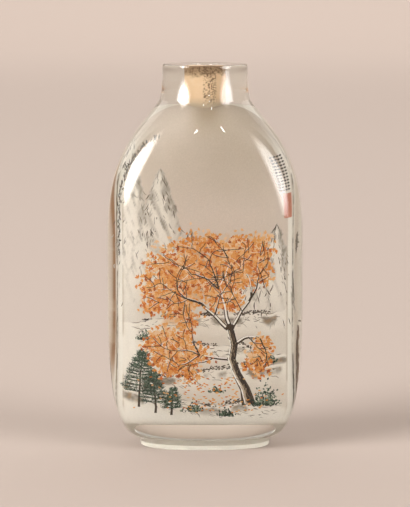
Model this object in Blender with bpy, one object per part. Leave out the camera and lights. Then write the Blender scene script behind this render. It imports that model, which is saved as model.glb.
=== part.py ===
"""A snuff bottle: one piece of clear glass, flattened and rounded-square in plan, hollow, with a
round neck, a drilled mouth and an oval foot. Metres, +Z up, X across the broad face, Y front to back.
The origin is at the centre of the foot's underside, and the front face looks towards -Y."""

import math

import bmesh
import bpy

MM = 0.001

# Overall sizes
BOTTLE_HEIGHT = 84.0 * MM
BODY_WIDTH = 42.8 * MM
BODY_DEPTH = 24.0 * MM
WIDEST_HEIGHT = 40.0 * MM
BODY_SQUARENESS = 3.6

# Neck and mouth
NECK_HEIGHT = 7.7 * MM
NECK_DIAMETER = 18.5 * MM
NECK_FLARE = 0.6 * MM
LIP_ROUNDING = 0.4 * MM
BORE_DIAMETER = 5.9 * MM
MOUTH_ROUNDING = 0.25 * MM

# Foot
FOOT_WIDTH = 28.6 * MM
FOOT_DEPTH = 15.4 * MM
FOOT_HEIGHT = 2.2 * MM
FOOT_SQUARENESS = 2.6
FOOT_ROUNDING = 0.4 * MM
FOOT_RIM_WIDTH = 2.0 * MM
FOOT_RECESS_DEPTH = 0.7 * MM
BODY_OVERHANG = 0.4 * MM

# Hollow
SIDE_WALL = 4.2 * MM
FACE_WALL = 2.8 * MM
FLOOR_THICKNESS = 3.9 * MM
FLOOR_CORNER_REACH = 2.2 * MM
FLOOR_CORNER_RISE = 4.5 * MM
BORE_LENGTH = 9.6 * MM
HOLLOW_SQUARENESS = 3.4

# How full the curves of the outline are, as powers
LOWER_FULLNESS = 4.0
SHOULDER_FULLNESS = 3.6
NECK_SWEEP = 1.25
HOLLOW_SHOULDER_FULLNESS = 5.0

# Facets
SIDES = 56
LOWER_RINGS = 13
SHOULDER_RINGS = 15
NECK_RINGS = 3
LIP_RINGS = 3
FLOOR_CORNER_RINGS = 4
HOLLOW_RINGS = 11

ROUND = 2.0
NECK_RADIUS = NECK_DIAMETER / 2
BORE_RADIUS = BORE_DIAMETER / 2
NECK_BASE_HEIGHT = BOTTLE_HEIGHT - NECK_HEIGHT
CEILING_HEIGHT = BOTTLE_HEIGHT - BORE_LENGTH
FLOOR_HEIGHT = FOOT_HEIGHT + FLOOR_THICKNESS
HOLLOW_HALF_WIDTH = BODY_WIDTH / 2 - SIDE_WALL
HOLLOW_HALF_DEPTH = BODY_DEPTH / 2 - FACE_WALL

GLASS_COLOUR = (0.93, 0.93, 0.88, 1.0)
GLASS_ROUGHNESS = 0.03
GLASS_IOR = 1.52


def between(start, end, share):
    return start + (end - start) * share


def quarter_turn(step, steps):
    return math.pi / 2 * step / steps


def eased_out(step, steps):
    """Shares from 0 to 1 that lie closest together near 1."""
    return math.sin(quarter_turn(step, steps))


def section(half_width, half_depth, squareness, height):
    """One level ring: an oval at squareness 2, and a rounded rectangle above that."""
    return (half_width, half_depth, squareness, height)


def round_section(radius, height):
    return section(radius, radius, ROUND, height)


def foot_sections():
    """From the recessed underside, out over the rim that the bottle stands on, to the foot's top."""
    half_width, half_depth = FOOT_WIDTH / 2, FOOT_DEPTH / 2

    def inset(distance, height):
        return section(half_width - distance, half_depth - distance, FOOT_SQUARENESS, height)

    return [
        inset(FOOT_RIM_WIDTH, FOOT_RECESS_DEPTH),
        inset(FOOT_RIM_WIDTH, 0),
        inset(FOOT_ROUNDING, 0),
        inset(0, FOOT_ROUNDING),
        inset(0, FOOT_HEIGHT),
    ]


def body_sections():
    """From the foot out to the widest height, and in over the shoulders to the neck."""
    base_width = FOOT_WIDTH / 2 + BODY_OVERHANG
    base_depth = FOOT_DEPTH / 2 + BODY_OVERHANG
    top_radius = NECK_RADIUS + NECK_FLARE
    rings = []
    for step in range(LOWER_RINGS + 1):
        turn = quarter_turn(step, LOWER_RINGS)
        fullness = math.sin(turn)
        share = 1 - max(math.cos(turn), 0) ** (2 / LOWER_FULLNESS)
        rings.append(
            section(
                between(base_width, BODY_WIDTH / 2, fullness),
                between(base_depth, BODY_DEPTH / 2, fullness),
                between(FOOT_SQUARENESS, BODY_SQUARENESS, fullness),
                between(FOOT_HEIGHT, WIDEST_HEIGHT, share),
            )
        )
    for step in range(1, SHOULDER_RINGS + 1):
        share = eased_out(step, SHOULDER_RINGS)
        fullness = max(1 - share**SHOULDER_FULLNESS, 0) ** NECK_SWEEP
        rings.append(
            section(
                between(top_radius, BODY_WIDTH / 2, fullness),
                between(top_radius, BODY_DEPTH / 2, fullness),
                between(ROUND, BODY_SQUARENESS, fullness),
                between(WIDEST_HEIGHT, NECK_BASE_HEIGHT, share),
            )
        )
    return rings


def neck_sections():
    """A slight flare above the shoulders, straight sides, and the rounded lip."""
    rings = []
    lip_start = BOTTLE_HEIGHT - LIP_ROUNDING
    for step in range(1, NECK_RINGS + 1):
        share = step / NECK_RINGS
        radius = NECK_RADIUS + NECK_FLARE * (1 - share) ** 3
        rings.append(round_section(radius, between(NECK_BASE_HEIGHT, lip_start, share)))
    for step in range(1, LIP_RINGS + 1):
        turn = quarter_turn(step, LIP_RINGS)
        rings.append(
            round_section(
                NECK_RADIUS - LIP_ROUNDING * (1 - math.cos(turn)),
                lip_start + LIP_ROUNDING * math.sin(turn),
            )
        )
    return rings


def bore_sections():
    """The mouth's eased edge and the straight hole drilled down through the neck."""
    return [
        round_section(BORE_RADIUS + MOUTH_ROUNDING, BOTTLE_HEIGHT),
        round_section(BORE_RADIUS, BOTTLE_HEIGHT - MOUTH_ROUNDING),
        round_section(BORE_RADIUS, CEILING_HEIGHT),
    ]


def hollow_sections():
    """The ground-out inside, from under the shoulders down to the flat floor."""
    rings = []
    for step in range(HOLLOW_RINGS, -1, -1):
        share = eased_out(step, HOLLOW_RINGS)
        fullness = 1 - share**HOLLOW_SHOULDER_FULLNESS
        if fullness > 0:
            rings.append(
                section(
                    between(BORE_RADIUS, HOLLOW_HALF_WIDTH, fullness),
                    between(BORE_RADIUS, HOLLOW_HALF_DEPTH, fullness),
                    between(ROUND, HOLLOW_SQUARENESS, fullness),
                    between(WIDEST_HEIGHT, CEILING_HEIGHT, share),
                )
            )
    for step in range(FLOOR_CORNER_RINGS + 1):
        turn = quarter_turn(step, FLOOR_CORNER_RINGS)
        inset = FLOOR_CORNER_REACH * (1 - math.cos(turn))
        rings.append(
            section(
                HOLLOW_HALF_WIDTH - inset,
                HOLLOW_HALF_DEPTH - inset,
                HOLLOW_SQUARENESS,
                FLOOR_HEIGHT + FLOOR_CORNER_RISE * (1 - math.sin(turn)),
            )
        )
    return rings


def place_ring(verts, ring):
    """Sets a ring's points on its section, spread evenly round it."""
    half_width, half_depth, squareness, height = ring
    for i, vert in enumerate(verts):
        turn = 2 * math.pi * i / len(verts)
        across, along = math.cos(turn), math.sin(turn)
        reach = (abs(across) ** squareness + abs(along) ** squareness) ** (-1 / squareness)
        vert.co = (half_width * reach * across, half_depth * reach * along, height)


def next_ring(mesh, verts):
    """Extrudes a ring of points and gives the new ring in the same order."""
    edges = [mesh.edges.get((a, b)) for a, b in zip(verts, verts[1:] + verts[:1])]
    made = bmesh.ops.extrude_edge_only(mesh, edges=edges)["geom"]
    new = {item for item in made if isinstance(item, bmesh.types.BMVert)}
    return [
        next(edge.other_vert(vert) for edge in vert.link_edges if edge.other_vert(vert) in new)
        for vert in verts
    ]


def skinned(rings):
    """One closed skin through all the rings in order, with flat faces on the first and last."""
    mesh = bmesh.new()
    made = bmesh.ops.create_circle(mesh, cap_ends=True, segments=SIDES, radius=BORE_RADIUS)
    verts = made["verts"]
    place_ring(verts, rings[0])
    for ring in rings[1:]:
        verts = next_ring(mesh, verts)
        place_ring(verts, ring)
    mesh.faces.new(verts)
    bmesh.ops.recalc_face_normals(mesh, faces=mesh.faces[:])
    return mesh


def clear_glass():
    material = bpy.data.materials.new("clear_glass")
    material.use_nodes = True
    shader = material.node_tree.nodes["Principled BSDF"]
    shader.inputs["Base Color"].default_value = GLASS_COLOUR
    shader.inputs["Roughness"].default_value = GLASS_ROUGHNESS
    shader.inputs["IOR"].default_value = GLASS_IOR
    shader.inputs["Transmission Weight"].default_value = 1.0
    return material


def glass_bottle():
    rings = (
        foot_sections() + body_sections() + neck_sections() + bore_sections() + hollow_sections()
    )
    mesh = skinned(rings)
    data = bpy.data.meshes.new("glass_bottle")
    mesh.to_mesh(data)
    mesh.free()
    data.shade_smooth()
    data.set_sharp_from_angle(angle=math.radians(35))
    data.materials.append(clear_glass())
    bottle = bpy.data.objects.new("glass_bottle", data)
    bpy.context.scene.collection.objects.link(bottle)
    return bottle


for old in list(bpy.data.objects):
    bpy.data.objects.remove(old)
glass_bottle()
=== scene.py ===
"""A glass snuff bottle painted on the inside, on a pale studio floor.

One clear block of glass, rounded-square and flattened, with the hollow ground out through its narrow
mouth. A winter landscape is painted on the wall of the hollow, so it is seen through the glass.
"""

import math

import bmesh
import bpy
import numpy as np
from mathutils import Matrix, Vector


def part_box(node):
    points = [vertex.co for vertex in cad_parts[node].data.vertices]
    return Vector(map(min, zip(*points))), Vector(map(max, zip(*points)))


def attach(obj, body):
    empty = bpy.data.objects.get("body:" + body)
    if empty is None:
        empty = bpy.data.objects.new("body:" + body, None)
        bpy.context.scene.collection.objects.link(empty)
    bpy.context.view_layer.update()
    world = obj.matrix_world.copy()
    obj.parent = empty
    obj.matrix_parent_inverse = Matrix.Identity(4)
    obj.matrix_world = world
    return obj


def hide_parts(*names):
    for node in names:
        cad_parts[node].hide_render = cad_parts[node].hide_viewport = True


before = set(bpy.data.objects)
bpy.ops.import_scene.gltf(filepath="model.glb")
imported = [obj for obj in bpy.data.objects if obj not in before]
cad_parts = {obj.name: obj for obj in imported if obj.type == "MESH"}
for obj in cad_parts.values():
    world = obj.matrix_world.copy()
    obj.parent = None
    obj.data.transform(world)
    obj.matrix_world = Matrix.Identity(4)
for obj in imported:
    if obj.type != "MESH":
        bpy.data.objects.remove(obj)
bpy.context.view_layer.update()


# The bottle
# One piece of clear, faintly greenish glass, cut and polished outside to a rounded square with a
# round neck and a low oval foot. Its outside and its hollow are one closed skin of level rings.
MM = 0.001
ROUND = 2.0
low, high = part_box("glass_bottle")
BOTTLE_HEIGHT = high.z - low.z
BODY_WIDTH = high.x - low.x
BODY_DEPTH = high.y - low.y
WIDEST_HEIGHT = 40.0 * MM
BODY_SQUARENESS = 3.6
NECK_HEIGHT = 7.7 * MM
NECK_RADIUS = 9.25 * MM
NECK_FLARE = 0.6 * MM
LIP_ROUNDING = 0.4 * MM
BORE_RADIUS = 2.95 * MM
MOUTH_ROUNDING = 0.25 * MM
FOOT_HALF_WIDTH = 14.3 * MM
FOOT_HALF_DEPTH = 7.7 * MM
FOOT_HEIGHT = 2.2 * MM
FOOT_SQUARENESS = 2.6
FOOT_ROUNDING = 0.4 * MM
FOOT_RIM_WIDTH = 2.0 * MM
FOOT_RECESS_DEPTH = 0.7 * MM
BODY_OVERHANG = 0.4 * MM
SIDE_WALL = 4.2 * MM
FACE_WALL = 2.8 * MM
HOLLOW_SQUARENESS = 3.4
FLOOR_HEIGHT = 6.1 * MM
FLOOR_CORNER_REACH = 2.2 * MM
FLOOR_CORNER_RISE = 4.5 * MM
BORE_LENGTH = 9.6 * MM
CEILING_HEIGHT = BOTTLE_HEIGHT - BORE_LENGTH
NECK_BASE_HEIGHT = BOTTLE_HEIGHT - NECK_HEIGHT
LOWER_FULLNESS = 4.0
SHOULDER_FULLNESS = 3.6
NECK_SWEEP = 1.25
HOLLOW_SHOULDER_FULLNESS = 5.0
SIDES = 200
LOWER_RINGS = 50
SHOULDER_RINGS = 60
HOLLOW_RINGS = 90
WELD = 0.0001 * MM
SHARP_EDGE = math.radians(30)


def between(start, end, share):
    """The value that lies a share of the way from start to end."""
    return start + (end - start) * share


def quarter_turns(steps):
    """Evenly spaced angles from nothing to a right angle."""
    return np.linspace(0, np.pi / 2, steps)


def foot_rings():
    """Half-width, half-depth, squareness and height, from the recess out to the foot's top."""
    rim = [(FOOT_RIM_WIDTH, FOOT_RECESS_DEPTH), (FOOT_RIM_WIDTH, 0)]
    edge = [
        (FOOT_ROUNDING * (1 - math.sin(turn)), FOOT_ROUNDING * (1 - math.cos(turn)))
        for turn in quarter_turns(6)
    ]
    sides = [(0, height) for height in np.linspace(FOOT_ROUNDING, FOOT_HEIGHT, 5)[1:]]
    return [
        (FOOT_HALF_WIDTH - inset, FOOT_HALF_DEPTH - inset, FOOT_SQUARENESS, height)
        for inset, height in rim + edge + sides
    ]


def body_rings():
    """From the foot out to the widest height, and in over the shoulders to the neck."""
    top_radius = NECK_RADIUS + NECK_FLARE
    rings = []
    for turn in quarter_turns(LOWER_RINGS):
        full = math.sin(turn)
        rings.append(
            (
                between(FOOT_HALF_WIDTH + BODY_OVERHANG, BODY_WIDTH / 2, full),
                between(FOOT_HALF_DEPTH + BODY_OVERHANG, BODY_DEPTH / 2, full),
                between(FOOT_SQUARENESS, BODY_SQUARENESS, full),
                between(WIDEST_HEIGHT, FOOT_HEIGHT, max(math.cos(turn), 0) ** (2 / LOWER_FULLNESS)),
            )
        )
    for turn in quarter_turns(SHOULDER_RINGS)[1:]:
        share = math.sin(turn)
        full = max(1 - share**SHOULDER_FULLNESS, 0) ** NECK_SWEEP
        rings.append(
            (
                between(top_radius, BODY_WIDTH / 2, full),
                between(top_radius, BODY_DEPTH / 2, full),
                between(ROUND, BODY_SQUARENESS, full),
                between(WIDEST_HEIGHT, NECK_BASE_HEIGHT, share),
            )
        )
    return rings


def neck_rings():
    """Up the neck, over the rounded lip, across the flat rim and down the bore."""
    lip = BOTTLE_HEIGHT - LIP_ROUNDING
    rings = []
    for share in np.linspace(0, 1, 16)[1:]:
        rings.append((NECK_RADIUS + NECK_FLARE * (1 - share) ** 3, between(NECK_BASE_HEIGHT, lip, share)))
    for turn in quarter_turns(7)[1:]:
        rings.append(
            (NECK_RADIUS - LIP_ROUNDING * (1 - math.cos(turn)), lip + LIP_ROUNDING * math.sin(turn))
        )
    for turn in quarter_turns(5):
        rings.append(
            (
                BORE_RADIUS + MOUTH_ROUNDING * (1 - math.sin(turn)),
                BOTTLE_HEIGHT - MOUTH_ROUNDING * (1 - math.cos(turn)),
            )
        )
    for height in np.linspace(BOTTLE_HEIGHT - MOUTH_ROUNDING, CEILING_HEIGHT, 8)[1:]:
        rings.append((BORE_RADIUS, height))
    return [(radius, radius, ROUND, height) for radius, height in rings]


def hollow_ring(height):
    """The section of the hollow at a height between its floor and its ceiling."""
    share = np.clip((height - WIDEST_HEIGHT) / (CEILING_HEIGHT - WIDEST_HEIGHT), 0, 1)
    full = 1 - share**HOLLOW_SHOULDER_FULLNESS
    down = np.clip(1 - (height - FLOOR_HEIGHT) / FLOOR_CORNER_RISE, 0, 1)
    inset = FLOOR_CORNER_REACH * (1 - np.sqrt(1 - down**2))
    return (
        between(BORE_RADIUS, BODY_WIDTH / 2 - SIDE_WALL, full) - inset,
        between(BORE_RADIUS, BODY_DEPTH / 2 - FACE_WALL, full) - inset,
        between(ROUND, HOLLOW_SQUARENESS, full),
        height,
    )


def even_heights(count):
    """Heights down the hollow's wall, spaced evenly along its profile at the sides."""
    fine = np.linspace(CEILING_HEIGHT, FLOOR_HEIGHT, 20001)
    reach = hollow_ring(fine)[0]
    run = np.concatenate([[0], np.cumsum(np.hypot(np.diff(fine), np.diff(reach)))])
    return np.interp(np.linspace(0, run[-1], count), run, fine)


def ring_points(half_width, half_depth, squareness, height, turn):
    """Points of a level ring at given turns: an oval, squared off by its squareness."""
    across, along = np.cos(turn), np.sin(turn)
    reach = (np.abs(across) ** squareness + np.abs(along) ** squareness) ** (-1 / squareness)
    return np.stack([half_width * reach * across, half_depth * reach * along, height + 0 * turn], -1)


def skin(rings):
    """A closed skin through level rings: a grid rolled up, welded along its seam and capped."""
    mesh = bmesh.new()
    gaps = len(rings) - 1
    bmesh.ops.create_grid(mesh, x_segments=SIDES, y_segments=gaps, size=0.5)
    for vert in mesh.verts:
        ring = rings[round((vert.co.y + 0.5) * gaps)]
        step = round((vert.co.x + 0.5) * SIDES) % SIDES
        vert.co = ring_points(*ring, 2 * math.pi * step / SIDES)
    bmesh.ops.remove_doubles(mesh, verts=mesh.verts[:], dist=WELD)
    bmesh.ops.holes_fill(mesh, edges=[edge for edge in mesh.edges if edge.is_boundary])
    bmesh.ops.recalc_face_normals(mesh, faces=mesh.faces[:])
    return mesh


def into_object(mesh, name, material):
    """Puts a mesh into the scene as an object of one material."""
    data = bpy.data.meshes.new(name)
    mesh.to_mesh(data)
    mesh.free()
    data.materials.append(material)
    thing = bpy.data.objects.new(name, data)
    bpy.context.scene.collection.objects.link(thing)
    return thing


def finished(mesh, name, material):
    """Makes a mesh a piece that rides on the bottle's one body."""
    piece = into_object(mesh, name, material)
    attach(piece, "root")
    return piece


def hex_tone(colour):
    """The red, green and blue of an sRGB hex colour, from 0 to 1."""
    return np.array([int(colour[i : i + 2], 16) / 255 for i in (1, 3, 5)])


def to_linear(tones):
    """The linear light of sRGB tones."""
    return np.where(tones <= 0.04045, tones / 12.92, ((tones + 0.055) / 1.055) ** 2.4)


def linear(colour):
    """An sRGB hex colour as linear red, green, blue and alpha."""
    return (*to_linear(hex_tone(colour)), 1.0)


def surface(name, **settings):
    """A material with a Principled shader, whose settings are set on its own sockets."""
    material = bpy.data.materials.new(name)
    material.use_nodes = True
    shader = material.node_tree.nodes["Principled BSDF"]
    for setting, value in settings.items():
        shader.inputs[setting.replace("_", " ").title().replace("Ior", "IOR")].default_value = value
    return material


# Clear glass, cut and polished all over: it bends the view, has a faint green cast where it is thick,
# and mirrors each light in a sharp highlight.
polished_glass = surface(
    "polished clear glass",
    base_color=linear("#f7f8f1"),
    roughness=0.0,
    ior=1.5,
    transmission_weight=1.0,
)
hollow_rings = [hollow_ring(height) for height in even_heights(HOLLOW_RINGS)[1:]]
glass_mesh = skin(foot_rings() + body_rings() + neck_rings() + hollow_rings)
bottle = finished(glass_mesh, "bottle_glass", polished_glass)
bottle.data.shade_smooth()
bottle.data.set_sharp_from_angle(angle=SHARP_EDGE)
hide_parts("glass_bottle")


# The ground wall of the hollow
# The inside is ground matt so that paint holds on it. The paint is a film on that wall, in touch with
# the glass, so here it is a thin skin just inside the glass, spread out as a map of millimetres:
# s runs round the wall from the middle of a face, z is the height, and lift is towards the viewer.
FILM_LIFT = 0.03
FILM_THICKNESS = 0.012
ROUND_STEPS = 400


def wall_table():
    """For each height, the length of wall from a face's middle to the other's, and points along it."""
    heights = even_heights(500)[::-1]
    turn = np.linspace(-np.pi / 2, np.pi / 2, 1201)
    runs, places = [], []
    for height in heights:
        points = ring_points(*hollow_ring(height), turn)[:, :2] / MM
        run = np.concatenate([[0], np.cumsum(np.hypot(*np.diff(points, axis=0).T))])
        even = np.linspace(0, run[-1], ROUND_STEPS + 1)
        places.append(np.stack([np.interp(even, run, points[:, i]) for i in (0, 1)], -1))
        runs.append(run[-1])
    return heights / MM, np.array(runs), np.array(places)


WALL_HEIGHTS, WALL_RUNS, WALL_PLACES = wall_table()
FLOOR, CEILING = WALL_HEIGHTS[0], WALL_HEIGHTS[-1]


def side_middle(z):
    """How far round from the middle of a face the middle of a side lies, at a height."""
    return np.interp(z, WALL_HEIGHTS, WALL_RUNS) / 2


def wall_place(s, z):
    """The point of the wall at s and z, in millimetres, for the front face."""
    row = np.clip(np.interp(z, WALL_HEIGHTS, np.arange(len(WALL_HEIGHTS))), 0, len(WALL_HEIGHTS) - 1.001)
    run = np.interp(z, WALL_HEIGHTS, WALL_RUNS)
    column = np.clip(np.abs(s) / run * ROUND_STEPS, 0, ROUND_STEPS - 0.001)
    low_row, low_column = row.astype(int), column.astype(int)
    up, out = (row - low_row)[..., None], (column - low_column)[..., None]
    near = between(WALL_PLACES[low_row, low_column], WALL_PLACES[low_row, low_column + 1], out)
    far = between(WALL_PLACES[low_row + 1, low_column], WALL_PLACES[low_row + 1, low_column + 1], out)
    x, y = np.moveaxis(between(near, far, up), -1, 0)
    return np.stack([x * np.where(s < 0, -1, 1), y, np.clip(z, FLOOR, CEILING)], -1)


def on_wall(s, z, lift, back=False):
    """Points in metres that lie on the painted wall, lifted off it into the glass."""
    step = 0.05
    round_wall = wall_place(s + step, z) - wall_place(s - step, z)
    up_wall = wall_place(s, z + step) - wall_place(s, z - step)
    outward = np.cross(round_wall, up_wall)
    outward /= np.linalg.norm(outward, axis=-1, keepdims=True)
    points = (wall_place(s, z) + outward * np.asarray(lift)[..., None]) * MM
    return points * (-1, -1, 1) if back else points


def eased(share):
    """A share from 0 to 1 that starts and ends gently."""
    return share * share * (3 - 2 * share)


def lattice_noise(x, y, seed):
    """Smooth random values from 0 to 1, one knot a unit."""
    count = 64
    knots = np.random.default_rng(seed).random((count, count))
    left, low_edge = np.floor(x).astype(int), np.floor(y).astype(int)
    across, up = eased(x - left), eased(y - low_edge)

    def knot(i, j):
        return knots[(left + i) % count, (low_edge + j) % count]

    below = between(knot(0, 0), knot(1, 0), across)
    above = between(knot(0, 1), knot(1, 1), across)
    return between(below, above, up)


def cloudy(x, y, seed):
    """Noise in four sizes, from 0 to 1."""
    weights = [1, 0.5, 0.25, 0.125]
    parts = [w * lattice_noise(x * 2**i, y * 2**i, seed + i) for i, w in enumerate(weights)]
    return sum(parts) / sum(weights)


def ramp(value, start, end):
    """Rises gently from 0 at start to 1 at end."""
    return eased(np.clip((value - start) / (end - start), 0, 1))


def washed(tones, colour, cover):
    """Lays a wash of one colour over the tones, where cover is from 0 to 1."""
    return between(tones, hex_tone(colour), np.clip(cover, 0, 1)[..., None])


KEPT_BY_GLASS = 0.6
LIGHT_ON_PAINT = 1.4
DARKEST_PAINT = 0.01
LIGHTEST_PAINT = 0.93


def paint_under_glass(tones):
    """Paint in touch with glass looks darker and stronger than in air, because the glass turns part of
    its light back. This gives the paint's own linear colour for tones as they look from outside."""
    look = to_linear(tones) / LIGHT_ON_PAINT
    own = look / (1 - KEPT_BY_GLASS + KEPT_BY_GLASS * look)
    return np.clip(own, DARKEST_PAINT, LIGHTEST_PAINT)


def paint_value(colour):
    """The same for one hex colour, with alpha."""
    return (*paint_under_glass(hex_tone(colour)), 1.0)


SKY, MIST, SNOW, SNOW_SHADE = "#cab5a6", "#d8cabc", "#f6e7d7", "#c6b6a6"
INK_WASH, ROCK_WASH, BROWN_WASH = "#8d8378", "#71675c", "#8a6a4f"
CRACKS, CANOPY_WASH, BARE_MARGIN_AND_PAINTED_LIGHT = "#5f574e", "#d98a52", "#fff3e4"


def sky(s, z, seed):
    """A warm grey sky, deeper at the top and the right, with mist low down, and a painted shadow of the bore
    just under it.
    """
    clouds = ramp(cloudy(s * 0.10, z * 0.08, seed), 0.25, 0.75)
    tones = hex_tone(SKY) + 0 * s[..., None]
    tones = washed(tones, "#b3a08e", 0.6 * ramp(z, 50, 66) * clouds)
    tones = washed(tones, "#aa9886", 0.75 * ramp(z, 52, 66) * ramp(s, -8, 9))
    # Painted shade: a dark blot under the bore, standing in for the bore's shadow seen through the wall.
    tones = washed(tones, "#8a7864", 0.75 * ramp(z, 67, 73.5) * ramp(np.abs(s - 0.4), 5, 0.5))
    return washed(tones, MIST, 0.5 * ramp(z, 50, 34))


def peak(tones, s, z, centre, top, spread, base, seed):
    """A snowy peak: a pale face left of its ridge, a shaded one right of it, and mist at its foot."""
    down = np.clip(top - z, 0, None)
    height = top - base
    rough = 1.5 * (cloudy(z * 0.5, 0 * z, seed) - 0.5) + 0.7 * (cloudy(z * 1.6, 0 * z, seed + 1) - 0.5)
    half = spread * (down / height) ** 0.75 + rough * ramp(down, 0, 2)
    body = ramp(half - np.abs(s - centre), 0, 0.3) * (z < top)
    beside = s - centre - 0.16 * down - 2.2 * (cloudy(z * 0.3, 0 * z, seed + 2) - 0.5)
    slant = np.where(beside > 0, -0.5, 0.45)
    streaks = cloudy(s * 0.9 + slant * z * 0.8, z * 0.22, seed + 3)
    fine = cloudy(s * 2.6 + slant * z * 2.0, z * 0.5, seed + 4)
    fading = np.exp(-down / (0.9 * height))
    shaded = ramp(beside, -0.2, 0.4) * (0.45 + 0.55 * ramp(streaks, 0.38, 0.60))
    lit = ramp(beside, 0.2, -0.4) * 0.75 * ramp(streaks, 0.50, 0.70)
    edge = 0.5 * ramp(half - np.abs(s - centre), 1.1, 0.1)
    cracked = body * 0.85 * ramp(fine, 0.55, 0.70) * ramp(streaks, 0.42, 0.58) * fading
    tones = washed(tones, SNOW, body * 0.9)
    tones = washed(tones, INK_WASH, body * (shaded + lit + edge) * fading)
    tones = washed(tones, CRACKS, cracked)
    return washed(tones, MIST, body * ramp(down, 0.6 * height, height) * 0.9)


def bank_line(s, height, slope, seed):
    """The height of a bank's upper edge."""
    return height + slope * s + 3.4 * (cloudy(s * 0.13, 0 * s + seed, seed) - 0.5)


def snow_bank(tones, s, z, line, seed):
    """A bank of snow: bright on top, grey in its hollows, with bare brown rock under its edge."""
    down = line - z
    cover = ramp(down, 0.0, 0.25)
    drift = cloudy(s * 0.25, z * 0.5, seed)
    tones = washed(tones, SNOW, cover)
    tones = washed(tones, SNOW_SHADE, cover * 0.62 * ramp(down + 3 * drift, 3.2, 7.0) * ramp(s, -15, -3))
    place = cloudy(s * 0.28, 0 * z + 0.3, seed + 3)
    rock = ramp(place, 0.44, 0.60) * ramp(down, 0.5, 1.1) * ramp(down, 1.2 + 2.6 * place, 0.9 + 1.0 * place)
    lumps = cloudy(s * 1.2, z * 1.5, seed + 5)
    tones = washed(tones, INK_WASH, cover * rock * 0.9)
    tones = washed(tones, ROCK_WASH, cover * rock * ramp(lumps, 0.40, 0.62))
    return washed(tones, BROWN_WASH, cover * rock * 0.7 * ramp(cloudy(s * 0.6, z * 0.8, seed + 7), 0.5, 0.7))


def side_panels(tones, s, z, seed):
    """Past a bare white margin, each side has its own plain strip: pale, with ochre and dark streaks.
    The strips and the margin end under the shoulders, where the sky runs right round. Near the floor the
    whole film is washed towards near white, as painted light."""
    sky_tones = tones
    from_middle = side_middle(z) - np.abs(s)
    grain = cloudy(s * 1.4, z * 0.22, seed)
    tones = washed(tones, "#a99781", 0.8 * ramp(from_middle, 4.9, 4.5) * ramp(grain, 0.35, 0.6))
    tones = washed(tones, BARE_MARGIN_AND_PAINTED_LIGHT, ramp(from_middle, 4.3, 4.0))
    tones = washed(tones, "#857663", 0.35 * ramp(from_middle, 2.75, 2.55) * ramp(grain, 0.35, 0.55))
    tones = washed(tones, "#e4d6c6", ramp(from_middle, 2.5, 2.3))
    ochre = ramp(np.abs(from_middle - 0.9), 0.62, 0.30) * ramp(z, 66, 56) * ramp(z, 12, 22)
    patchy = ramp(cloudy(0 * s, z * 0.16, seed + 2), 0.05, 0.40)
    tones = washed(tones, "#7c583f", np.where(s < 0, 0.97, 0.20) * ochre * patchy)
    wander = 0.5 * (cloudy(z * 0.7, 0 * z, seed + 5) - 0.5)
    broken = ramp(cloudy(0 * s, z * 0.7, seed + 4), 0.10, 0.75)
    dark = ramp(np.abs(from_middle - 2.0 - wander), 0.25, 0.10) * broken
    tones = washed(tones, "#4a443c", 0.9 * dark)
    tones = between(sky_tones, tones, ramp(z, 71, 61)[..., None])
    # Painted light: near the floor the whole film is washed towards near white, standing in for light on its
    # downturned corner.
    return washed(tones, BARE_MARGIN_AND_PAINTED_LIGHT, 0.9 * ramp(z, 11.0, 7.0))


# In the wall's millimetres, a peak is (centre, top, spread, base), a bank of snow is (height, slope, seed)
# and a part of the maple's canopy is (centre, middle, half-width, half-height).
FRONT_PEAKS = [
    (9.5, 44, 7.0, 27),
    (15.5, 50, 7.5, 27),
    (-16.5, 67, 9.0, 30),
    (-3.0, 49, 8.0, 30),
    (-9.5, 62, 9.5, 30),
]
FRONT_BANKS = [(30.0, 0.08, 21), (24.5, -0.16, 22), (17.5, 0.12, 23), (11.5, -0.10, 24)]
CANOPY = [(-5.0, 36, 6.5, 5.0), (0.5, 43.0, 7.0, 5.0), (7.0, 41.0, 5.0, 5.0), (-6.5, 29, 3.5, 3.0)]
BACK_PEAKS = [(8.0, 40, 10.0, 24), (-9.0, 34, 11.0, 22)]
BACK_BANKS = [(22.0, -0.10, 61), (13.0, 0.12, 62)]


def peaks_and_banks(tones, s, z, peaks, first_seed, banks):
    """Peaks in mist, and the banks of snow before them."""
    for number, shape in enumerate(peaks):
        tones = peak(tones, s, z, *shape, first_seed + 7 * number)
    for height, slope, seed in banks:
        tones = snow_bank(tones, s, z, bank_line(s, height, slope, seed), seed)
    return tones


def front_picture(s, z):
    """Snowy peaks in mist over banks of snow, and the orange wash that lies under the maple's leaves."""
    tones = peaks_and_banks(sky(s, z, 11), s, z, FRONT_PEAKS, 30, FRONT_BANKS)
    ragged = 0.9 * (cloudy(s * 0.5, z * 0.5, 71) - 0.5)
    patchy = ramp(cloudy(s, z, 75), 0.2, 0.55)
    for centre, middle, width, tall in CANOPY:
        reach = np.hypot((s - centre) / width, (z - middle) / tall) + ragged
        tones = washed(tones, CANOPY_WASH, 0.62 * ramp(reach, 1.0, 0.65) * patchy)
    return side_panels(tones, s, z, 81)


def back_picture(s, z):
    """The back is plainer: low hills in mist, two banks of snow, and a wide pale sky, washed paler towards
    the top as painted light, so that the rim, neck and shoulders look bright through the glass.
    """
    # Painted light: the upper back is washed pale so that it shows bright through the rim, neck and
    # shoulders.
    tones = washed(sky(s, z, 12), "#e6d8c8", 0.9 * ramp(z, 40, 60))
    tones = peaks_and_banks(tones, s, z, BACK_PEAKS, 90, BACK_BANKS)
    return side_panels(tones, s, z, 82)


def grid_steps(verts, columns, rows):
    """The column and the row of each point of a flat grid that is one unit wide and tall."""
    flat = np.array([vert.co for vert in verts])
    return [np.rint((flat[:, axis] + 0.5) * steps).astype(int) for axis, steps in ((0, columns), (1, rows))]


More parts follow.
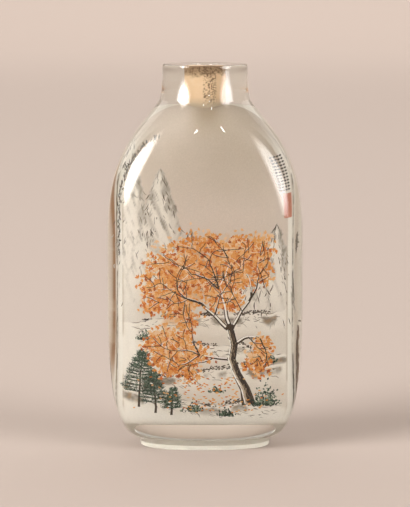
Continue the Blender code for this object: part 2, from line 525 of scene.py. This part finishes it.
def thicken(film, thickness):
    """Gives a sheet its thickness in millimetres, towards the wall."""
    shell = film.modifiers.new("thickness", "SOLIDIFY")
    shell.thickness = thickness * MM
    shell.offset = -1


FACE_REACH = 16.5
FACE_POINTS = 133
SIDE_POINTS = 17
UPRIGHT_POINTS = 250


def painted_film(name, picture, back):
    """The washes of one face and half of each side, as a fine sheet whose points hold the pigment."""
    half_side = WALL_RUNS.max() / 2
    face = np.linspace(-1, 1, FACE_POINTS) * FACE_REACH
    side = np.linspace(FACE_REACH, half_side, SIDE_POINTS)[1:]
    columns = np.concatenate([-side[::-1], face, side]) / half_side
    heights = even_heights(UPRIGHT_POINTS)[::-1] / MM
    steps = len(columns) - 1, len(heights) - 1
    mesh = bmesh.new()
    bmesh.ops.create_grid(mesh, x_segments=steps[0], y_segments=steps[1], size=0.5)
    column, row = grid_steps(mesh.verts, *steps)
    z = heights[row]
    s = columns[column] * side_middle(z)
    for vert, place in zip(mesh.verts, on_wall(s, z, FILM_LIFT + 0 * s, back)):
        vert.co = place
    film = finished(mesh, name, wash)
    pigment = film.data.color_attributes.new("pigment", "FLOAT_COLOR", "POINT")
    colours = np.concatenate([paint_under_glass(picture(s, z)), np.ones((len(s), 1))], axis=1)
    pigment.data.foreach_set("color", colours.ravel())
    film.data.shade_smooth()
    thicken(film, FILM_THICKNESS)


def node(tree, kind, inputs=None, **settings):
    """Adds a node with its settings. Each of its inputs takes another node's output or a plain value."""
    new = tree.nodes.new(kind)
    for setting, value in settings.items():
        setattr(new, setting, value)
    for socket, source in (inputs or {}).items():
        if isinstance(source, bpy.types.NodeSocket):
            tree.links.new(source, new.inputs[socket])
        else:
            new.inputs[socket].default_value = source
    return new


def colour_surface(material, colour):
    """Links a colour to the shader of a material."""
    tree = material.node_tree
    tree.links.new(colour, tree.nodes["Principled BSDF"].inputs["Base Color"])


# Watercolour and ink wash on ground glass: matt, and mottled where the pigment settles in the grain.
# The real grain is finer, about 0.05 mm, and is drawn as coarse as it needs to show.
GRAIN = 0.25 * MM
wash = surface("ink and colour wash", roughness=0.9, specular_ior_level=0.0)
washes = wash.node_tree
place = node(washes, "ShaderNodeTexCoord").outputs["Object"]
pigment = node(washes, "ShaderNodeAttribute", attribute_name="pigment")
grain = node(washes, "ShaderNodeTexNoise", {"Vector": place, "Scale": 1 / GRAIN, "Detail": 3})
settled = node(
    washes,
    "ShaderNodeMapRange",
    {"Value": grain.outputs["Fac"], "From Min": 0.3, "From Max": 0.7, "To Min": 0.94, "To Max": 1.04},
)
mottled = node(
    washes,
    "ShaderNodeVectorMath",
    {0: pigment.outputs["Color"], "Scale": settled.outputs["Result"]},
    operation="SCALE",
)
colour_surface(wash, mottled.outputs["Vector"])
painted_film("front_painting", front_picture, back=False)
painted_film("back_painting", back_picture, back=True)


# The brushwork
# Fine ink and body colour over the washes. A stroke is (path, widths, colour, lift), drawn flat in the
# wall's millimetres. Each becomes a thin patch of paint of its own, laid on the wall.
INK, DARK_INK, SOFT_INK, PALE_INK = "#2a2420", "#453c34", "#6a5f55", "#958a7f"
DRY_INK = "#7d7064"
SNOW_TOUCH = "#fbf1e4"
PATCH_THICKNESS = 0.006

# Thick body colour and black ink: matt, with no shine of its own under the glass. Each stroke holds the
# pigment that the brush was loaded with.
body_colour = surface("opaque colour and ink", roughness=0.9, specular_ior_level=0.0)
pigment = node(body_colour.node_tree, "ShaderNodeAttribute", attribute_name="pigment")
colour_surface(body_colour, pigment.outputs["Color"])


def brushwork(name, strokes, back=False):
    """Makes the strokes: for each length, one grid is cut into strips, a strip to a stroke."""
    drawing = bmesh.new()
    layer = drawing.verts.layers.float_color.new("pigment")
    for rows in sorted({len(stroke[0]) for stroke in strokes}):
        group = [stroke for stroke in strokes if len(stroke[0]) == rows]
        paths = np.array([path for path, *_ in group], float)
        heading = np.gradient(paths, axis=1)
        heading /= np.maximum(np.linalg.norm(heading, axis=-1, keepdims=True), 1e-9)
        right = np.stack([heading[..., 1], -heading[..., 0]], -1)
        half = np.array([np.broadcast_to(widths, rows) for _, widths, *_ in group])[..., None] / 2
        lifts = np.array([stroke[3] for stroke in group])
        tones = [paint_value(stroke[2]) for stroke in group]
        columns = 2 * len(group) - 1
        made = bmesh.ops.create_grid(drawing, x_segments=columns, y_segments=rows - 1, size=0.5)["verts"]
        column, row = grid_steps(made, columns, rows - 1)
        number = column // 2
        side = np.where(column % 2, 1, -1)[:, None]
        s, z = (paths[number, row] + side * right[number, row] * half[number, row]).T
        faces = {face for vert in made for face in vert.link_faces}
        middles = [(face.calc_center_median().x + 0.5) * columns for face in faces]
        between_strokes = [face for face, middle in zip(faces, middles) if int(middle) % 2]
        bmesh.ops.delete(drawing, geom=between_strokes, context="FACES_ONLY")
        for vert, place, which in zip(made, on_wall(s, z, lifts[number], back), number):
            vert.co = place
            vert[layer] = tones[which]
    loose = [edge for edge in drawing.edges if not edge.link_faces]
    bmesh.ops.delete(drawing, geom=loose, context="EDGES")
    thicken(finished(drawing, name, body_colour), PATCH_THICKNESS)


def drawn_path(start, turns, length):
    """A path of a given length from a point, with a heading for each of its steps."""
    moves = length / len(turns) * np.stack([np.cos(turns), np.sin(turns)], -1)
    return np.concatenate([[start], np.asarray(start) + np.cumsum(moves, axis=0)])


def point_along(path, share):
    """The point that lies a share of the way along a path."""
    steps = len(path) - 1
    return np.array([np.interp(share * steps, np.arange(steps + 1), path[:, axis]) for axis in (0, 1)])


def line_stroke(start, heading, length, bend, width, colour, lift):
    """A tapered stroke that sets off at a heading and bends as it goes."""
    rows = 6
    path = drawn_path(start, heading + np.linspace(0, bend, rows - 1), length)
    return path, width * np.sin(np.linspace(0.25, np.pi - 0.1, rows)), colour, lift


def dab(centre, length, width, turn, colour, lift):
    """One touch of a full brush: three points long, widest in the middle."""
    along = np.array([math.cos(turn), math.sin(turn)]) * length / 2
    path = np.array([centre - along, centre, centre + along])
    return path, np.array([0.4, 1, 0.4]) * width, colour, lift


def edge_line(line, reach, seed, colours, width):
    """A broken ink line along the edge of a bank, as far as its reach either way."""
    rng = np.random.default_rng(seed)
    rows = 8
    strokes, s = [], -reach
    while s < reach:
        length = rng.uniform(0.8, 3.2)
        along = np.linspace(s, s + length, rows)
        path = np.stack([along, line(along) + rng.normal(0, 0.04, rows)], -1)
        swell = width * rng.uniform(0.5, 1.4) * np.sin(np.linspace(0.2, np.pi - 0.1, rows))
        strokes.append((path, swell, rng.choice(colours), 0.05))
        s += length + rng.uniform(-0.2, 1.2)
    return strokes


def moss(line, clumps, seed):
    """Dots of moss in clumps: each (place along the edge, how many)."""
    rng = np.random.default_rng(seed)
    strokes = []
    for s, count in clumps:
        for _ in range(count):
            at = np.array([s, line(s) + 0.1]) + rng.normal(0, 1, 2) * (0.25 + 0.035 * count, 0.22)
            size = 0.3 * rng.uniform(0.7, 1.3)
            turn = rng.uniform(-0.4, 0.4)
            ink = rng.choice([INK, DARK_INK, SOFT_INK])
            strokes.append(dab(at, size * 1.2, size, turn, ink, 0.06))
    return strokes


def bank_edge(height, slope, seed):
    """The edge of a bank, as a function of the place along it."""
    return lambda s: bank_line(np.asarray(s, float), height, slope, seed)


rocks = []
rng = np.random.default_rng(31)
for centre, top, spread, base in FRONT_PEAKS:
    for side in (-1, 1):
        for _ in range(45):
            down = (top - base) * rng.beta(1.2, 2.2)
            reach = spread * (down / (top - base)) ** 0.75 * rng.uniform(0.1, 1.0)
            start = (centre + side * reach, top - down)
            steep = -math.pi / 2 + side * rng.uniform(0.15, 0.55)
            ink = rng.choice([PALE_INK, "#a89d92", SOFT_INK, DARK_INK])
            length, bend, width = rng.uniform(0.5, 2.0), rng.normal(0, 0.4), rng.uniform(0.08, 0.28)
            rocks.append(line_stroke(start, steep, length, bend, width, ink, 0.045))
for number, (height, slope, seed) in enumerate(FRONT_BANKS):
    edge = bank_edge(height, slope, seed)
    rocks += edge_line(edge, 16, 40 + number, [SOFT_INK, PALE_INK, DRY_INK], 0.16)
    clumps = [(rng.uniform(-15, 15), int(rng.integers(4, 26))) for _ in range(9)]
    rocks += moss(edge, clumps, 60 + number)
    for _ in range(70):
        s = rng.uniform(-15, 15)
        start = (s, edge(s) - rng.uniform(0.6, 2.6))
        turn, length, bend = rng.normal(-0.15, 0.25), rng.uniform(0.5, 1.8), rng.normal(0, 0.5)
        width, ink = rng.uniform(0.08, 0.2), rng.choice([SOFT_INK, DRY_INK, PALE_INK])
        rocks.append(line_stroke(start, turn, length, bend, width, ink, 0.046))
brushwork("rock_strokes", rocks)


# The maple
# The main figure, in its autumn leaves: an old maple leaning over the snow, with black twisted boughs,
# snow lying along them, and leaves put on in groups of three short touches of orange.
MAPLE_COLOURS = ["#efb384", "#e89a60", "#e08645", "#d37033", "#b85627", "#8d3f1e"]
TRUNK = np.array([(9.4, 10.8), (8.6, 14.2), (6.9, 17.4), (5.8, 20.6), (6.3, 23.8), (5.6, 27.0)])
# Each bough is (point of the trunk, heading, length, width).
BOUGHS = [
    (5, 2.75, 8.5, 1.0),
    (5, 1.9, 9.5, 1.05),
    (4, 0.75, 6.0, 0.9),
    (5, 1.25, 8.5, 0.85),
    (3, 2.7, 7.0, 0.7),
]
LIMB_POINTS = 8
MID_LIMB = 4


def grow(rng, start, heading, length, width, forks, limbs):
    """Draws out one limb, bending as it goes, and then its forks. Limbs are (path, widths, forks)."""
    steps = LIMB_POINTS - 1
    turns = heading + np.cumsum(rng.normal(0, 0.16, steps)) + np.linspace(0, rng.normal(0, 0.3), steps)
    path = drawn_path(start, turns, length)
    limbs.append((path, np.linspace(width, width * 0.55, LIMB_POINTS), forks))
    if forks == 0:
        return
    for turn in rng.permutation([-0.7, -0.05, 0.7])[: 2 + int(rng.random() < 0.6)]:
        longer, bent = rng.uniform(0.62, 0.8), rng.normal(0, 0.15)
        grow(rng, path[-1], turns[-1] + turn + bent, length * longer, width * 0.55, forks - 1, limbs)
    sideways = turns[MID_LIMB - 1] + rng.choice([-1, 1]) * rng.uniform(0.7, 1.1)
    grow(rng, path[MID_LIMB], sideways, length * 0.55, width * 0.4, forks - 1, limbs)


rng = np.random.default_rng(5)
limbs = []
for fork, heading, length, width in BOUGHS:
    grow(rng, TRUNK[fork], heading, length, width, 3, limbs)
limbs = [limb for limb in limbs if np.abs(limb[0][:, 0]).max() < 13.8 and limb[0][:, 1].min() > 17]

# The trunk has its dark body, a lit side, a shaded side and a line of snow.
maple = [
    (TRUNK, np.array([3.0, 2.1, 1.8, 1.65, 1.5, 1.3]), "#3d3027", 0.070),
    (TRUNK + (-0.4, 0), np.array([0.5, 0.45, 0.4, 0.35, 0.3, 0.2]), "#a58f78", 0.082),
    (TRUNK + (0.5, 0), np.array([0.8, 0.55, 0.5, 0.4, 0.35, 0.2]), INK, 0.082),
    (TRUNK + (-0.75, 0.1), np.array([0.2, 0.3, 0.35, 0.3, 0.25, 0.2]), SNOW_TOUCH, 0.090),
]
for share in np.linspace(0.02, 0.98, 70):
    at = point_along(TRUNK, share) + (rng.uniform(-0.6, 0.6), 0)
    turn, length, bend = rng.normal(1.75, 0.3), rng.uniform(0.5, 1.3), rng.normal(0, 0.6)
    width, ink = rng.uniform(0.08, 0.16), rng.choice([INK, INK, "#8a735d", "#6a5443"])
    maple.append(line_stroke(at, turn, length, bend, width, ink, 0.095))
for path, widths, forks in limbs:
    maple.append((path, widths, "#33281f" if forks else INK, 0.075))
for path, widths, forks in limbs:
    if forks > 1 or rng.random() < 0.4:
        maple.append((path[1:-1] + (-0.05, 0.16), widths[1:-1] * 0.45, SNOW_TOUCH, 0.125))
for path, widths, forks in limbs:
    if forks < 3 and rng.random() < 0.65:
        maple.append((path, np.clip(widths * 0.6, 0.14, 0.45), INK, 0.130))
brushwork("maple_boughs", maple)

leaves = []
tips = [path[index] for path, _, forks in limbs if forks <= 1 for index in (MID_LIMB, LIMB_POINTS - 1)]
tips = [tip for tip in tips if abs(tip[0]) < 12.6]
for tip in tips:
    shade = rng.normal(0, 0.7)
    for _ in range(11):
        at = tip + rng.normal(0, 1, 2) * (1.05, 0.72)
        tone = int(np.clip(rng.normal(2.5 - 1.1 * (at[1] - tip[1]) + shade, 1.1), 0, 5))
        facing, size, lift = rng.uniform(0, 6.3), rng.uniform(0.55, 0.95), rng.uniform(0.085, 0.120)
        for turn in (facing - 0.8, facing, facing + 0.8):
            blade = at + np.array([math.cos(turn), math.sin(turn)]) * size * 0.35
            leaves.append(dab(blade, size * 0.9, size * 0.42, turn, MAPLE_COLOURS[tone], lift))
# Fallen leaves lie on the snow round the trunk.
for _ in range(150):
    at = np.array([rng.normal(1.0, 5.5), rng.uniform(9.0, 17.0)])
    length, turn = rng.uniform(0.4, 0.7), rng.uniform(-0.5, 0.5)
    leaves.append(dab(at, length, 0.3, turn, rng.choice(MAPLE_COLOURS[1:5]), 0.1))
half = len(leaves) // 2
brushwork("maple_leaves_1", leaves[:half])
brushwork("maple_leaves_2", leaves[half:])


# The pines and scrub
# Small pines at the lower left and low scrub along the banks, in dark greens and blacks. Their needles
# and leaves are short touches of a dry brush over thin trunks, with a little snow on the pines' boughs.
PINE_COLOURS = ["#26322a", "#35443a", "#1c241f", "#4b5a49"]
SCRUB_COLOURS = PINE_COLOURS + ["#7d8470"]
PINE_BARK = "#3a3029"


def needles(rng, spot):
    """A fan of needles that spreads over a point of a bough."""
    strokes = []
    for turn in np.linspace(0.15, math.pi - 0.15, 8) + rng.normal(0, 0.15, 8):
        centre = spot + rng.normal(0, 0.16, 2)
        size = rng.uniform(0.55, 0.9)
        middle = centre + size / 2 * np.array([math.cos(turn), 0.8 * math.sin(turn)])
        green = rng.choice(PINE_COLOURS)
        strokes.append(dab(middle, size, 0.13, turn, green, rng.uniform(0.07, 0.09)))
    return strokes


def pine(rng, root, height, lean):
    """A small pine: a thin trunk, level boughs that shorten upwards, and needles along them."""
    rows = 8
    rise = np.linspace(0, 1, rows)
    trunk = np.stack([root[0] + lean * rise**1.5 + rng.normal(0, 0.07, rows), root[1] + height * rise], -1)
    strokes = [(trunk, np.linspace(0.55, 0.14, rows), PINE_BARK, 0.065)]
    for level in np.linspace(0.28, 1.0, int(height * 1.1)):
        at = point_along(trunk, level)
        for side in (-1, 1):
            reach = (1.12 - level) * height * rng.uniform(0.32, 0.52)
            droop = -side * rng.uniform(0.0, 0.3)
            heading = (0 if side > 0 else math.pi) - droop
            bough = line_stroke(at, heading, reach, droop, 0.2, PINE_BARK, 0.068)
            strokes.append(bough)
            for spot in bough[0][1:]:
                strokes += needles(rng, spot)
            if rng.random() < 0.4:
                lain = bough[0][1:4] + (0, rng.uniform(0.2, 0.4))
                strokes.append((lain, np.array([0.1, 0.26, 0.1]), SNOW_TOUCH, 0.1))
    return strokes


def scrub(rng, centre, width, height, count):
    """A low bush: many small dabs in greens and blacks, thickest in the middle."""
    strokes = []
    for _ in range(count):
        across, up = rng.normal(0, 0.36), abs(rng.normal(0, 0.45))
        at = centre + np.array([across * width / 2, up * height * math.exp(-across**2)])
        size, turn = rng.uniform(0.22, 0.42), rng.uniform(0, 3.1)
        green = rng.choice(SCRUB_COLOURS)
        strokes.append(dab(at, size * 1.3, size, turn, green, rng.uniform(0.06, 0.09)))
    return strokes


rng = np.random.default_rng(8)
greenery = []
for root, height, lean in [((-14.2, 10.0), 12, 0.8), ((-10.6, 8.8), 8.5, -0.5), ((-7.2, 8.4), 5.5, 0.3)]:
    greenery += pine(rng, root, height, lean)
for centre, width, height, count in [
    ((-2.5, 9.2), 5, 1.6, 90),
    ((13.0, 10.4), 7.5, 4.2, 330),
    ((2.5, 13.4), 4, 1.5, 70),
    ((-3.5, 18.3), 5, 1.4, 80),
    ((14.0, 19.6), 4, 2.0, 90),
    ((-13.0, 24.8), 5, 1.6, 90),
    ((4.5, 8.2), 4.5, 1.8, 120),
    ((-8.5, 30.0), 3, 1.0, 40),
]:
    greenery += scrub(rng, np.array(centre), width, height, count)
brushwork("pine_and_scrub_strokes", greenery)


# The marks beside the picture
# Even rows of short level dashes and a plain red block stand at the right edge, for balance alone.
# A twig in small touches climbs the left margin, and long thin brush lines run down the side strips.
BLOCK_RED = "#c5705a"


def edge_place(from_middle, z, side):
    """The point of the wall at a distance from the middle of the left (-1) or right (1) side."""
    return np.stack([side * (side_middle(z) - from_middle), z + 0 * from_middle], -1)


rng = np.random.default_rng(12)
marks = []
for z in np.arange(56.8, 63.7, 0.62):
    for from_middle in (3.5, 4.4, 5.3, 6.2):
        length, width = rng.uniform(0.66, 0.74), rng.uniform(0.34, 0.38)
        marks.append(dab(edge_place(from_middle, z, 1), length, width, 0.0, INK, 0.12))
for from_middle in np.arange(2.9, 5.5, 0.25):
    rows = 6
    upright = edge_place(from_middle, np.linspace(50.9, 56.0, rows), 1)
    marks.append((upright, 0.2 * np.ones(rows), BLOCK_RED, 0.10))
for z in np.arange(43.0, 68.5, 0.45):
    twig = np.interp(z, [43, 56, 62, 68], [2.9, 3.3, 4.4, 6.0])
    for _ in range(2):
        at = edge_place(twig + rng.normal(0, 0.28), z + rng.normal(0, 0.15), -1)
        turn = rng.normal(1.6, 0.7)
        ink = rng.choice([DARK_INK, SOFT_INK, "#5d5c5c"])
        marks.append(dab(at, rng.uniform(0.5, 1.0), rng.uniform(0.20, 0.36), turn, ink, 0.11))
# Each line is (side, top, bottom, distance from the side's middle at both, width, colour).
for side, top, bottom, at_top, at_bottom, width, colour in [
    (1, 27.0, 7.5, 0.7, 1.6, 0.50, "#5c4a3a"),
    (1, 21.0, 9.0, 2.1, 2.3, 0.34, "#4a443c"),
    (1, 47.5, 43.0, 0.9, 1.0, 0.45, "#6b6256"),
    (1, 38.0, 30.5, 1.9, 1.6, 0.28, "#6b6256"),
    (-1, 60.0, 41.0, 2.3, 1.9, 0.30, "#6b5c4a"),
    (-1, 33.0, 12.0, 1.8, 2.2, 0.30, "#857663"),
    (-1, 20.0, 7.5, 0.5, 1.3, 0.45, "#5c5448"),
]:
    rows = 24
    line = edge_place(np.linspace(at_top, at_bottom, rows), np.linspace(top, bottom, rows), side)
    line += rng.normal(0, 0.05, (rows, 2))
    swell = width * np.sin(np.linspace(0.15, np.pi - 0.15, rows)) * rng.uniform(0.7, 1.2, rows)
    marks.append((line, swell, colour, 0.09))
brushwork("margin_marks", marks)


# The strokes on the back
# The back has only a few bare trees on its snow, in thin ink, the broken edges of its two banks, and
# some dots of moss along them.
rng = np.random.default_rng(15)
far_side = []
for number, (height, slope, seed) in enumerate(BACK_BANKS):
    edge = bank_edge(height, slope, seed)
    far_side += edge_line(edge, 15, 80 + number, [SOFT_INK, PALE_INK], 0.15)
    clumps = [(rng.uniform(-14, 14), int(rng.integers(4, 20))) for _ in range(6)]
    far_side += moss(edge, clumps, 85 + number)
for root, heading, length in [((-6.0, 14.0), 1.5, 6.5), ((-9.0, 13.2), 1.7, 4.5), ((9.0, 18.5), 1.6, 4.0)]:
    bare_limbs = []
    grow(rng, np.array(root), heading, length, 0.6, 3, bare_limbs)
    far_side += [(path, widths, DARK_INK, 0.075) for path, widths, _ in bare_limbs]
brushwork("back_strokes", far_side, back=True)


# The floor of the hollow
# The flat bottom is ground like the wall but bears no paint, so it looks pale from below. Here it is a
# thin layer of frost just under the floor.
FIRST_COLOUR, SECOND_COLOUR, MIXED = 6, 7, 2  # the colour sockets of a Mix node, which share their names

# Ground glass: fine pits scatter the light, so it is matt and nearly white, with a faint warm grit. The
# grit is drawn as coarse as the grain under the paint.
frost = surface("ground glass", roughness=0.9, specular_ior_level=0.0)
pitting = frost.node_tree
place = node(pitting, "ShaderNodeTexCoord").outputs["Object"]
grit = node(pitting, "ShaderNodeTexNoise", {"Vector": place, "Scale": 1 / GRAIN, "Detail": 3})
pits = node(
    pitting,
    "ShaderNodeMix",
    {"Factor": grit.outputs["Fac"], FIRST_COLOUR: linear("#f4ece0"), SECOND_COLOUR: linear("#fffdf8")},
    data_type="RGBA",
)
colour_surface(frost, pits.outputs[MIXED])

half_width, half_depth, squareness, height = hollow_ring(FLOOR_HEIGHT)
layer = [
    (half_width + lift * MM, half_depth + lift * MM, squareness, height - lift * MM)
    for lift in (FILM_LIFT - FILM_THICKNESS, FILM_LIFT)
]
finished(skin(layer), "ground_floor", frost)


# The ground underside of the foot
# The flat rim that the bottle stands on and the shallow recess within it are ground and left matt, so
# from the front they show pale through the foot. Here they are a thin skin of frost inside the glass.
near, far = (FILM_LIFT - FILM_THICKNESS) * MM, FILM_LIFT * MM
rim_edge = FOOT_ROUNDING + 0.02 * MM
profile = [
    (FOOT_RIM_WIDTH - near, FOOT_RECESS_DEPTH + near),
    (FOOT_RIM_WIDTH - near, near),
    (rim_edge, near),
    (rim_edge, far),
    (FOOT_RIM_WIDTH - far, far),
    (FOOT_RIM_WIDTH - far, FOOT_RECESS_DEPTH + far),
]
underside = [
    (FOOT_HALF_WIDTH - inset, FOOT_HALF_DEPTH - inset, FOOT_SQUARENESS, height)
    for inset, height in profile
]
finished(skin(underside), "ground_underside", frost)


# The bore
# The drilled hole through the neck is left rough, and years of snuff and cork have stained it a warm
# tan, with dark grains caught near the mouth and in one streak down the front.
SPECK = 0.26 * MM
STAIN_PATCH = 1.3 * MM
STAIN_WAVER = 3 * MM


def spun(profile, closed, weld):
    """A mesh spun right round the upright axis from a profile of (radius, height) points."""
    mesh = bmesh.new()
    verts = [mesh.verts.new((radius, 0, height)) for radius, height in profile]
    ends = verts[1:] + (verts[:1] if closed else [])
    edges = [mesh.edges.new(pair) for pair in zip(verts, ends)]
    bmesh.ops.spin(
        mesh,
        geom=verts + edges,
        axis=(0, 0, 1),
        cent=(0, 0, 0),
        angle=2 * math.pi,
        steps=96,
        use_merge=True,
    )
    bmesh.ops.remove_doubles(mesh, verts=mesh.verts[:], dist=weld)
    bmesh.ops.recalc_face_normals(mesh, faces=mesh.faces[:])
    return mesh


# Snuff-stained ground glass: dull and warm tan, a little patchy and browner at the mouth. Where it opens
# into the hollow it turns a duller grey-brown, which is painted shade deep in the bore. Its dark specks
# are the size of grains of snuff.
stained = surface("snuff-stained ground glass", roughness=0.9, specular_ior_level=0.0)
staining = stained.node_tree
place = node(staining, "ShaderNodeTexCoord").outputs["Object"]
axes = node(staining, "ShaderNodeSeparateXYZ", {"Vector": place})
specks = node(staining, "ShaderNodeTexNoise", {"Vector": place, "Scale": 1 / SPECK, "Detail": 2})
stain = node(staining, "ShaderNodeTexNoise", {"Vector": place, "Scale": 1 / STAIN_PATCH})
uneven = node(
    staining,
    "ShaderNodeMath",
    {0: stain.outputs["Fac"], 1: STAIN_WAVER, 2: axes.outputs["Z"]},
    operation="MULTIPLY_ADD",
)
shares = {}
for name, value, none_at, full_at in [
    ("grains", specks.outputs["Fac"], 0.50, 0.56),
    ("mouth", uneven.outputs["Value"], BOTTLE_HEIGHT - 1.3 * MM, BOTTLE_HEIGHT - 0.2 * MM),
    ("past left", axes.outputs["X"], -0.5 * MM, -0.1 * MM),
    ("past right", axes.outputs["X"], 2.1 * MM, 1.6 * MM),
    # Painted shade: the bore darkens towards the hollow.
    ("hollow", axes.outputs["Z"], CEILING_HEIGHT + 2.4 * MM, CEILING_HEIGHT),
]:
    stretched = node(
        staining,
        "ShaderNodeMapRange",
        {"Value": value, "From Min": none_at, "From Max": full_at},
        interpolation_type="SMOOTHSTEP",
    )
    shares[name] = stretched.outputs["Result"]
for name, first, second, operation in [
    ("streak", "past left", "past right", "MULTIPLY"),
    ("dirty", "mouth", "streak", "MAXIMUM"),
    ("dark grains", "grains", "dirty", "MULTIPLY"),
]:
    joined = node(staining, "ShaderNodeMath", {0: shares[first], 1: shares[second]}, operation=operation)
    shares[name] = joined.outputs["Value"]
colour = paint_value("#d9a67b")
for share, next_colour in [
    (stain.outputs["Fac"], "#e8bd97"),
    (shares["mouth"], "#9a7b5f"),
    (shares["dark grains"], "#5f4a38"),
    # Painted shade: grey-brown deep in the bore, towards the hollow.
    (shares["hollow"], "#b09a82"),
]:
    blended = node(
        staining,
        "ShaderNodeMix",
        {"Factor": share, FIRST_COLOUR: colour, SECOND_COLOUR: paint_value(next_colour)},
        data_type="RGBA",
    )
    colour = blended.outputs[MIXED]
colour_surface(stained, colour)

inner, outer = BORE_RADIUS + (FILM_LIFT - FILM_THICKNESS) * MM, BORE_RADIUS + FILM_LIFT * MM
bottom, top = CEILING_HEIGHT, BOTTLE_HEIGHT - MOUTH_ROUNDING
sleeve = [(inner, bottom), (outer, bottom), (outer, top), (inner, top)]
wall = finished(spun(sleeve, True, WELD), "bore_wall", stained)
wall.data.shade_smooth()
wall.data.set_sharp_from_angle(angle=SHARP_EDGE)


# The studio
# A plain pale floor that curves up all round. Two large round soft lights stand at the sides, two dim
# ones behind, and one lights the background. Two tiny lamps by the camera give the small highlights.
FLOOR_RADIUS = 2.2
FLOOR_CURVE = 1.4

# Matt studio paper: dull and even, so it takes soft shadows and shows no reflections.
paper = surface("matt studio paper", base_color=linear("#b6a79d"), roughness=0.9)
sweep = [(0.0001, 0.0)] + [
    (FLOOR_RADIUS + FLOOR_CURVE * math.sin(turn), FLOOR_CURVE * (1 - math.cos(turn)))
    for turn in quarter_turns(24)
]
floor = into_object(spun(sweep, False, 0.0005), "studio_floor", paper)
floor.data.shade_smooth()


def soft_light(name, place, aim, width, tall, watts, fade=0.15, spread=180):
    """A round or oval soft light that fades over a share of its width at the edge. Its grid keeps the
    light within a spread in degrees."""
    lamp = bpy.data.lights.new(name, "AREA")
    lamp.use_nodes = True
    tree = lamp.node_tree
    spot = node(tree, "ShaderNodeNewGeometry").outputs["Parametric"]
    flat = node(tree, "ShaderNodeVectorMath", {0: spot, 1: (1, 1, 0)}, operation="MULTIPLY")
    reach = node(
        tree,
        "ShaderNodeVectorMath",
        {0: flat.outputs["Vector"], 1: (0.5, 0.5, 0)},
        operation="DISTANCE",
    )
    glow = node(
        tree,
        "ShaderNodeMapRange",
        {"Value": reach.outputs["Value"], "From Min": 0.5, "From Max": 0.5 - fade},
        interpolation_type="SMOOTHSTEP",
    )
    tree.links.new(glow.outputs["Result"], tree.nodes["Emission"].inputs["Strength"])
    lamp.shape = "ELLIPSE"
    lamp.size = width
    lamp.size_y = tall
    lamp.energy = watts
    lamp.spread = math.radians(spread)
    holder = bpy.data.objects.new(name, lamp)
    holder.location = place
    direction = Vector(aim) - holder.location
    holder.rotation_euler = direction.to_track_quat("-Z", "Y").to_euler()
    bpy.context.scene.collection.objects.link(holder)


# For each light: its place and aim, its width and height, and its watts.
soft_light("left_softbox", (-1.62, -0.96, 0.74), (0, 0, 0.74), 1.55, 1.45, 56, fade=0.25, spread=110)
soft_light("right_softbox", (1.62, -0.96, 0.64), (0, 0, 0.64), 1.55, 1.6, 32, fade=0.25, spread=110)
soft_light("left_rear_light", (-0.84, 0.80, 0.70), (0, 0, 0.30), 0.9, 1.2, 2.8)
soft_light("right_rear_light", (0.84, 0.80, 0.70), (0, 0, 0.30), 0.9, 1.2, 2.8)
soft_light("background_light", (0, 2.2, 1.9), (0, 2.42, 0), 3.5, 1.2, 36, spread=136)
soft_light("left_lamp_by_camera", (-0.039, -0.66, 0.208), (0, 0, 0.07), 0.020, 0.010, 0.02)
soft_light("right_lamp_by_camera", (0.129, -0.66, 0.257), (0, 0, 0.07), 0.020, 0.014, 0.045)

DAYLIGHT_STRENGTH = 0.50
world = bpy.data.worlds.new("daylight")
world.use_nodes = True
daylight = world.node_tree.nodes["Background"]
daylight.inputs["Color"].default_value = linear("#fff4ea")
daylight.inputs["Strength"].default_value = DAYLIGHT_STRENGTH
bpy.context.scene.world = world
bpy.context.scene.view_settings.view_transform = "Standard"


# The camera
# It stands half a metre in front, a little above the neck, and looks slightly down at the middle of the
# body. Its lens is set so that a metre there takes 4555 pixels of a picture 410 pixels wide.
CAMERA_DISTANCE = 0.480
CAMERA_HEIGHT = 0.106
AIM_HEIGHT = 0.0424
SENSOR_WIDTH = 36
PICTURE_WIDTH = 410
PIXELS_PER_METRE = 4555
camera_data = bpy.data.cameras.new("camera")
camera_data.sensor_fit = "HORIZONTAL"
camera_data.sensor_width = SENSOR_WIDTH
camera = bpy.data.objects.new("camera", camera_data)
camera.location = (0, -CAMERA_DISTANCE, CAMERA_HEIGHT)
aim = Vector((0, 0, AIM_HEIGHT)) - camera.location
camera.rotation_euler = aim.to_track_quat("-Z", "Y").to_euler()
camera_data.lens = SENSOR_WIDTH * PIXELS_PER_METRE * aim.length / PICTURE_WIDTH
bpy.context.scene.collection.objects.link(camera)
bpy.context.scene.camera = camera
